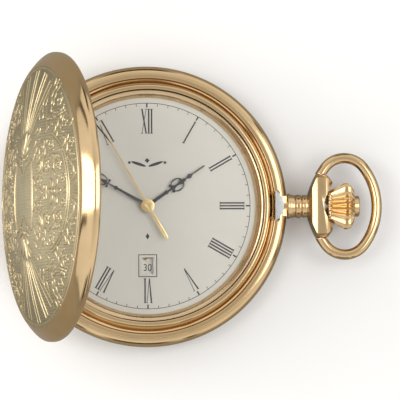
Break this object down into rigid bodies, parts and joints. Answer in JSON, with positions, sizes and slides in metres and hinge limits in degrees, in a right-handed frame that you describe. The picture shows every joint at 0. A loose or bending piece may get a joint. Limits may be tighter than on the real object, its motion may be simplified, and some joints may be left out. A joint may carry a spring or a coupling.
{
  "type": "pocket watch",
  "caption": "Round gold hunter pocket watch with an engraved front cover sprung open, fluted crown in an oval bow, and a silvered dial with numerals, three hands and a date.",
  "frame": {"origin": "dial axis at the plane the back rests on", "axes": "+Z out through the dial, +X towards 3 o'clock and the crown, +Y towards 12 o'clock; the front cover is hinged at 9 o'clock"},
  "size_m": [0.0667, 0.049, 0.0535],
  "materials": {
    "gold_plate": "yellow gold plating, mirror polished; the front cover's disc is engraved and slightly satin",
    "gilt_train": "gilt, fine turned",
    "second_hand_gilt": "flat gilt, satin",
    "steel": "ground and lightly polished",
    "battery_can": "plated can, fine brushed",
    "movement_brass": "satin",
    "coil_copper": "lacquered copper wire",
    "glass": "clear mineral glass",
    "seal_rubber": "matt",
    "seal_nylon": "translucent white",
    "holder_plastic": "moulded",
    "insulator_film": "thin film",
    "bobbin_plastic": "moulded",
    "board": "laminate with solder mask",
    "chip_black": "moulded",
    "dial_silver": "silvered off-white, matt lacquer",
    "date_white": "matt white lacquer",
    "print_black": "printed ink",
    "hand_black": "black oxide, slight sheen"
  },
  "bodies": {
    "case": {"case_middle": "gold_plate", "bezel": "gold_plate", "flange_ring": "gold_plate", "pendant_neck": "gold_plate", "pendant_head": "gold_plate", "hinge_pin": "steel", "lift_spring": "steel", "lock_spring": "steel", "spring_screws": "steel", "movement_clamps": "steel", "clamp_screws": "steel", "bridge_screws": "steel", "battery_clip": "steel", "quartz_can": "steel", "stator": "steel", "setting_wheel": "steel", "clutch_yoke": "steel", "battery": "battery_can", "main_plate": "movement_brass", "train_bridge": "movement_brass", "coil_winding": "coil_copper", "crystal": "glass", "back_gasket": "seal_rubber", "crystal_gasket": "seal_nylon", "movement_ring": "holder_plastic", "battery_insulator": "insulator_film", "coil_bobbin": "bobbin_plastic", "circuit_board": "board", "control_chip": "chip_black", "dial": "dial_silver", "dial_track": "print_black", "dial_numerals": "print_black", "dial_ornament": "print_black", "date_frame": "print_black"},
    "cover": {"front_cover": "gold_plate", "cover_relief": "gold_plate"},
    "back": {"back_cover": "gold_plate"},
    "plunger": {"push_sleeve": "steel"},
    "carrier": {"stem_bush": "movement_brass"},
    "winder": {"crown": "gold_plate", "stem": "steel", "sliding_pinion": "steel"},
    "latch": {"catch": "steel"},
    "lever": {"setting_lever": "steel"},
    "bow_ring": {"bow": "gold_plate", "bow_pins": "steel"},
    "seconds": {"second_hand": "second_hand_gilt", "second_wheel": "gilt_train"},
    "minutes": {"minute_hand": "hand_black", "cannon_pinion": "steel"},
    "hours": {"hour_hand": "hand_black", "hour_wheel": "movement_brass"},
    "third": {"third_wheel": "gilt_train"},
    "step": {"step_wheel": "gilt_train"},
    "rotor_arbor": {"rotor": "steel"},
    "motion": {"minute_wheel": "movement_brass"},
    "date_drive": {"date_driver": "movement_brass"},
    "dates": {"date_disc": "date_white", "date_digits": "print_black"}
  },
  "joints": [
    {"name": "cover_hinge", "type": "hinge", "parent": "case", "child": "cover", "pos_m": [-0.0234, 0, 0.00705], "axis": [0, -1, 0], "range_deg": [-75.5, 0], "stiffness_Nm_per_rad": 0.003, "springref_deg": 51.57},
    {"name": "back_off", "type": "slide", "parent": "case", "child": "back", "axis": [0, 0, -1], "range_m": [0, 0.012]},
    {"name": "crown_press", "type": "slide", "parent": "case", "child": "plunger", "axis": [-1, 0, 0], "range_m": [0, 0.00065], "stiffness_N_per_m": 400, "springref_m": -0.0005},
    {"name": "crown_pull", "type": "slide", "parent": "plunger", "child": "carrier", "axis": [1, 0, 0], "range_m": [0, 0.0008]},
    {"name": "crown_turn", "type": "hinge", "parent": "carrier", "child": "winder", "pos_m": [0.03, 0, 0.0049], "axis": [1, 0, 0], "continuous": true},
    {"name": "latch_slide", "type": "slide", "parent": "case", "child": "latch", "axis": [-1, 0, 0], "range_m": [0, 0.00045]},
    {"name": "lever_swing", "type": "hinge", "parent": "case", "child": "lever", "pos_m": [0.0106, 0.0024, 0.0042], "axis": [0, 0, 1], "range_deg": [0, 19]},
    {"name": "bow_swing", "type": "hinge", "parent": "case", "child": "bow_ring", "pos_m": [0.0305, 0, 0.0049], "axis": [0, 1, 0], "range_deg": [-95, 95]},
    {"name": "second_turn", "type": "hinge", "parent": "case", "child": "seconds", "pos_m": [0, 0, 0.0064], "axis": [0, 0, -1], "continuous": true},
    {"name": "minute_turn", "type": "hinge", "parent": "case", "child": "minutes", "pos_m": [0, 0, 0.0064], "axis": [0, 0, -1], "continuous": true},
    {"name": "hour_turn", "type": "hinge", "parent": "case", "child": "hours", "pos_m": [0, 0, 0.0064], "axis": [0, 0, -1], "continuous": true},
    {"name": "third_turn", "type": "hinge", "parent": "case", "child": "third", "pos_m": [0.00288, 0.00105, 0.0039], "axis": [0, 0, -1], "continuous": true},
    {"name": "step_turn", "type": "hinge", "parent": "case", "child": "step", "pos_m": [-0.00276, 0.00101, 0.0039], "axis": [0, 0, -1], "continuous": true},
    {"name": "rotor_turn", "type": "hinge", "parent": "case", "child": "rotor_arbor", "pos_m": [-0.0052, 0.00189, 0.0039], "axis": [0, 0, -1], "continuous": true},
    {"name": "motion_turn", "type": "hinge", "parent": "case", "child": "motion", "pos_m": [0.00202, 0.00202, 0.0056], "axis": [0, 0, -1], "continuous": true},
    {"name": "date_drive_turn", "type": "hinge", "parent": "case", "child": "date_drive", "pos_m": [-0.00648, -0.00236, 0.0056], "axis": [0, 0, -1], "continuous": true},
    {"name": "date_turn", "type": "hinge", "parent": "case", "child": "dates", "pos_m": [0, 0, 0.0056], "axis": [0, 0, -1], "continuous": true}
  ],
  "couplings": [
    {"joint": "latch_slide", "follows": "crown_press", "ratio": 0.6},
    {"joint": "lever_swing", "follows": "crown_pull", "rad_per_m": 400},
    {"joint": "minute_turn", "follows": "second_turn", "ratio": 0.016667},
    {"joint": "hour_turn", "follows": "second_turn", "ratio": 0.0013889},
    {"joint": "third_turn", "follows": "second_turn", "ratio": -0.13333},
    {"joint": "step_turn", "follows": "second_turn", "ratio": -5},
    {"joint": "rotor_turn", "follows": "second_turn", "ratio": 30},
    {"joint": "motion_turn", "follows": "second_turn", "ratio": -0.0055556},
    {"joint": "date_drive_turn", "follows": "second_turn", "ratio": -0.0018518}
  ]
}
